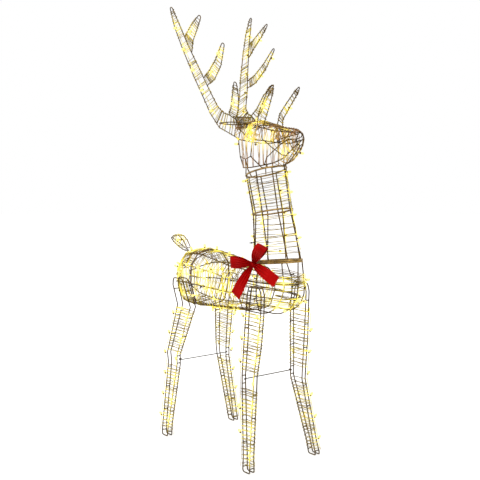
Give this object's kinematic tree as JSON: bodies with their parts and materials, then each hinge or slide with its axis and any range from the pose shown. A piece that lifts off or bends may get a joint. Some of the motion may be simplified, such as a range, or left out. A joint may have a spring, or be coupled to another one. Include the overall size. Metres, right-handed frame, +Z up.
{
  "type": "light up yard reindeer",
  "caption": "Standing wire-frame deer for the garden, wound with fine wire and strings of warm LED bulbs, with tined antlers, a neck bow and two swing-out leg braces.",
  "frame": {"origin": "on the ground, at the middle of the bounding box seen from above", "axes": "+X forward to the nose, +Y to the deer's left, +Z up"},
  "size_m": [0.7372, 0.3434, 1.4996],
  "materials": {
    "frame_wire": "satin champagne-gold enamel",
    "seam_ring": "satin gold enamel",
    "brace_wire": "satin gold enamel",
    "winding_wire": "satin champagne-gold enamel",
    "string_wire": "matte insulated wire",
    "led_bulb": "clear resin, glowing warm white",
    "ribbon": "red satin",
    "cable_tie": "black nylon"
  },
  "bodies": {
    "deer": {"rear_frame": "frame_wire", "rear_hoop": "seam_ring", "barrel_frame": "frame_wire", "chest_frame": "frame_wire", "chest_ring": "seam_ring", "neck_foot_ring": "seam_ring", "neck_lower_frame": "frame_wire", "neck_mid_ring": "seam_ring", "neck_upper_frame": "frame_wire", "neck_top_ring": "seam_ring", "head_frame": "frame_wire", "antler_bridge": "brace_wire", "ear_left": "frame_wire", "ear_right": "frame_wire", "antler_left": "frame_wire", "antler_right": "frame_wire", "tail": "frame_wire", "leg_front_left": "frame_wire", "leg_front_right": "frame_wire", "leg_rear_left": "frame_wire", "leg_rear_right": "frame_wire", "rear_winding": "winding_wire", "barrel_winding": "winding_wire", "chest_winding": "winding_wire", "neck_lower_winding": "winding_wire", "neck_upper_winding": "winding_wire", "head_winding": "winding_wire", "antler_winding_left": "winding_wire", "antler_winding_right": "winding_wire", "tail_winding": "winding_wire", "leg_winding_front_left": "winding_wire", "leg_winding_front_right": "winding_wire", "leg_winding_rear_left": "winding_wire", "leg_winding_rear_right": "winding_wire", "body_string": "string_wire", "neck_string": "string_wire", "head_string": "string_wire", "antler_string_left": "string_wire", "antler_string_right": "string_wire", "leg_string_front_left": "string_wire", "leg_string_front_right": "string_wire", "leg_string_rear_left": "string_wire", "leg_string_rear_right": "string_wire", "body_bulbs": "led_bulb", "belly_bulbs": "led_bulb", "neck_bulbs": "led_bulb", "head_bulbs": "led_bulb", "antler_bulbs_left": "led_bulb", "antler_bulbs_right": "led_bulb", "leg_bulbs_front_left": "led_bulb", "leg_bulbs_front_right": "led_bulb", "leg_bulbs_rear_left": "led_bulb", "leg_bulbs_rear_right": "led_bulb", "bow_loops": "ribbon", "bow_knot": "ribbon", "bow_tails": "ribbon", "leg_ties": "cable_tie"},
    "front_brace": {"front_brace": "brace_wire"},
    "rear_brace": {"rear_brace": "brace_wire"}
  },
  "joints": [
    {"name": "front_brace_swing", "type": "hinge", "parent": "deer", "child": "front_brace", "pos_m": [0.2135, 0.096, 0.28], "axis": [0, 0, -1], "range_deg": [0, 90]},
    {"name": "rear_brace_swing", "type": "hinge", "parent": "deer", "child": "rear_brace", "pos_m": [-0.1635, -0.102, 0.274], "axis": [0, 0, -1], "range_deg": [0, 90]}
  ]
}
